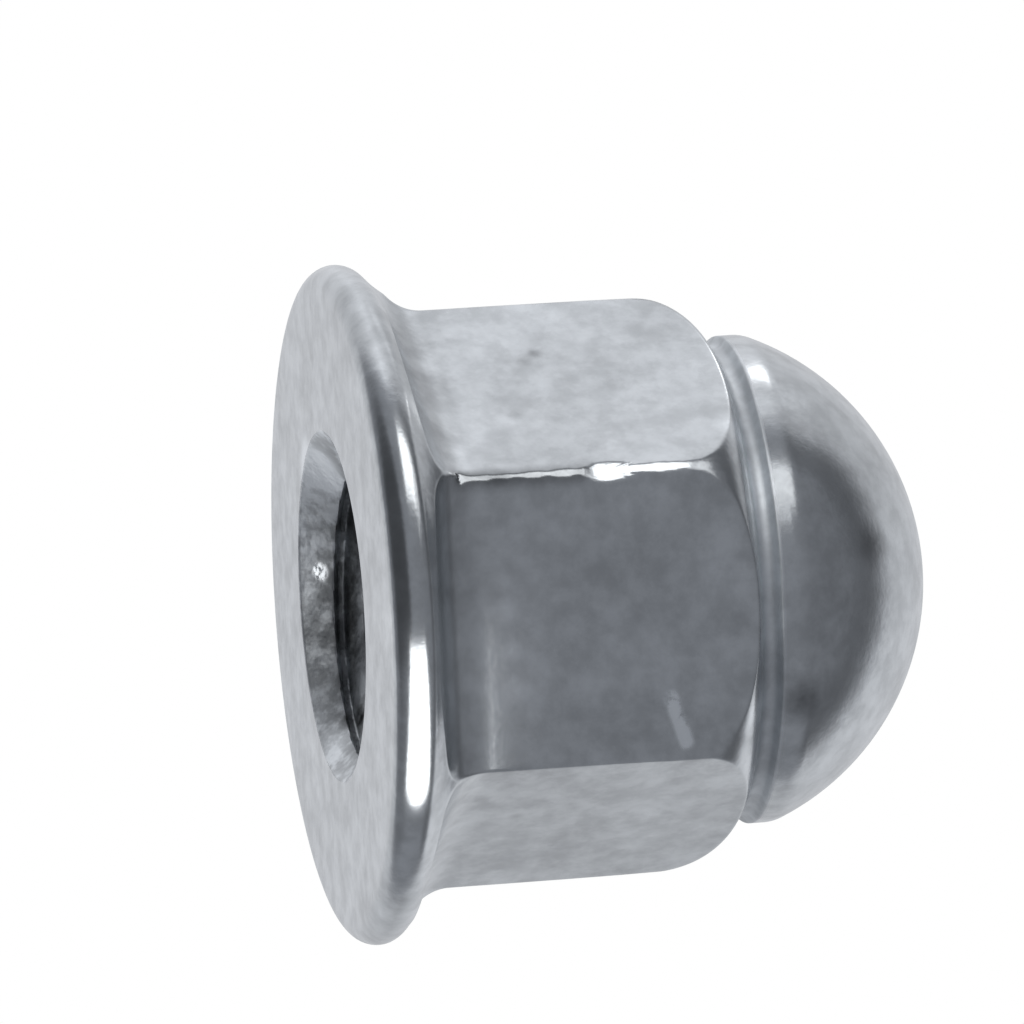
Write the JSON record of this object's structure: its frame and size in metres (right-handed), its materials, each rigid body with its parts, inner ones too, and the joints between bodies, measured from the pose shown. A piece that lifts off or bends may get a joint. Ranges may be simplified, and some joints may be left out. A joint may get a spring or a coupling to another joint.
{
  "type": "flanged cap nut",
  "caption": "Hexagonal cap nut with a wide flange under it and a closed dome over a blind, countersunk threaded hole; zinc-plated steel.",
  "frame": {"origin": "centre of the bearing face, under the flange", "axes": "+Z along the thread's axis, from the bearing face to the top of the dome; +X through a corner of the hexagon"},
  "size_m": [0.0174, 0.0174, 0.0154],
  "materials": {
    "zinc_plated_steel": "bright zinc plating with a fine mottle"
  },
  "bodies": {
    "root": {"cap_nut": "zinc_plated_steel"}
  },
  "joints": []
}
